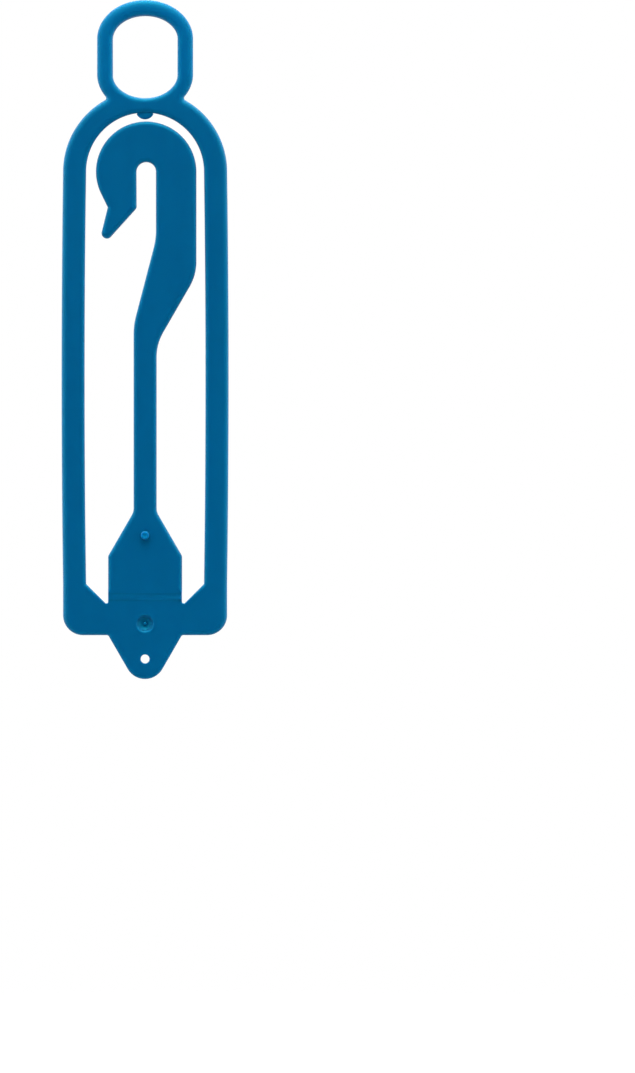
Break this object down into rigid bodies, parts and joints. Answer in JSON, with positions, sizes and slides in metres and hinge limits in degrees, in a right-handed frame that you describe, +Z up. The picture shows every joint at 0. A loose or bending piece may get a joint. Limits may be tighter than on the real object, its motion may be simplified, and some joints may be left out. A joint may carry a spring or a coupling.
{
  "type": "folding hanger hook",
  "caption": "Flat moulded hanger: an arched frame with a hanging loop and ribbed back, and a hook leg that folds out on a living hinge and snaps below the frame.",
  "frame": {"origin": "top of the hanging loop's hole at the front skin, where the loop rests on what holds it up", "axes": "+Z up as it hangs, -Y out of the front skin, +Y towards the ribbed back, +X to the right seen from the front"},
  "size_m": [0.0468, 0.0062, 0.1905],
  "materials": {
    "frame_blue": "satin injection-moulded polypropylene",
    "rib_blue": "satin injection-moulded polypropylene",
    "hook_blue": "satin injection-moulded polypropylene",
    "web_blue": "thin satin polypropylene web"
  },
  "bodies": {
    "frame": {"top_arch": "frame_blue", "left_side_bar": "frame_blue", "right_side_bar": "frame_blue", "crossbar": "frame_blue", "snap_tab": "frame_blue", "hanging_loop": "frame_blue", "keeper_nub": "frame_blue", "arch_rib": "rib_blue", "left_rib": "rib_blue", "right_rib": "rib_blue", "crossbar_rib": "rib_blue", "loop_rib": "rib_blue", "hinge_gusset": "rib_blue", "living_hinge": "web_blue"},
    "hook_leg": {"hook_plate": "hook_blue", "snap_peg": "hook_blue", "hook_stem": "hook_blue", "hook_neck": "hook_blue", "hook_crown": "hook_blue", "hook_beak": "hook_blue"}
  },
  "joints": [
    {"name": "hook_fold", "type": "hinge", "parent": "frame", "child": "hook_leg", "pos_m": [0, -0.00015, -0.163], "axis": [1, 0, 0], "range_deg": [0, 179.5], "deforming": ["living_hinge"]}
  ]
}
